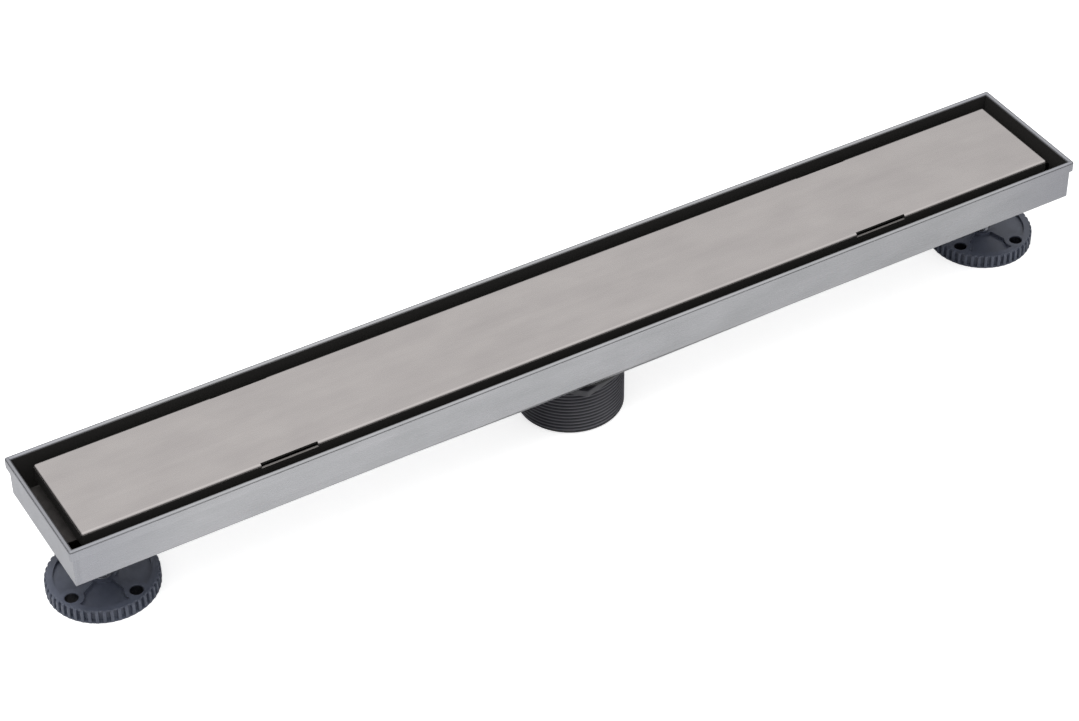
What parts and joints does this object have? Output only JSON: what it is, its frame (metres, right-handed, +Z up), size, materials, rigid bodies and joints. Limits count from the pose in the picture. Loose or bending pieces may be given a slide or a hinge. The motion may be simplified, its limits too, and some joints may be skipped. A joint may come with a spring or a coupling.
{
  "type": "linear shower drain",
  "caption": "Linear shower drain: hemmed stainless channel with a slotted reversible cover, a threaded bottom outlet and adjustable ribbed feet.",
  "frame": {"origin": "under the middle of the drain, on the level of the undersides of the feet", "axes": "+X along the channel, +Y across it, +Z up"},
  "size_m": [0.6112, 0.081, 0.068],
  "materials": {
    "stainless": "fine brushed stainless steel",
    "bracket_steel": "plain stainless sheet",
    "strainer_steel": "pressed stainless sheet, satin",
    "dark_abs": "moulded ABS, satin",
    "foot_plastic": "moulded plastic, matt slate grey",
    "seal_rubber": "moulded rubber, matt",
    "stud_steel": "rolled thread, bright stainless"
  },
  "bodies": {
    "drain": {"channel": "stainless", "cover": "stainless", "end_ledge_left": "bracket_steel", "end_ledge_right": "bracket_steel", "cover_bridge_left": "bracket_steel", "cover_bridge_right": "bracket_steel", "outlet_body": "dark_abs", "outlet_gasket": "seal_rubber", "outlet_washer": "dark_abs", "outlet_ring_nut": "dark_abs", "hair_strainer": "strainer_steel", "strainer_grip": "strainer_steel", "foot_sleeve_left": "stud_steel", "foot_lock_nut_left": "stud_steel", "foot_sleeve_right": "stud_steel", "foot_lock_nut_right": "stud_steel"},
    "stud_left": {"foot_stud_left": "stud_steel"},
    "disc_left": {"foot_disc_left": "foot_plastic"},
    "stud_right": {"foot_stud_right": "stud_steel"},
    "disc_right": {"foot_disc_right": "foot_plastic"}
  },
  "joints": [
    {"name": "foot_left_height", "type": "slide", "parent": "drain", "child": "stud_left", "axis": [0, 0, 1], "range_m": [-0.006, 0.0065]},
    {"name": "foot_left_turn", "type": "hinge", "parent": "stud_left", "child": "disc_left", "pos_m": [-0.276, 0, 0.004], "axis": [0, 0, 1], "range_deg": [-1441, 1561]},
    {"name": "foot_right_height", "type": "slide", "parent": "drain", "child": "stud_right", "axis": [0, 0, 1], "range_m": [-0.006, 0.0065]},
    {"name": "foot_right_turn", "type": "hinge", "parent": "stud_right", "child": "disc_right", "pos_m": [0.276, 0, 0.004], "axis": [0, 0, 1], "range_deg": [-1441, 1561]}
  ],
  "couplings": [
    {"joint": "foot_left_turn", "follows": "foot_left_height", "rad_per_m": 4188.8},
    {"joint": "foot_right_turn", "follows": "foot_right_height", "rad_per_m": 4188.8}
  ]
}
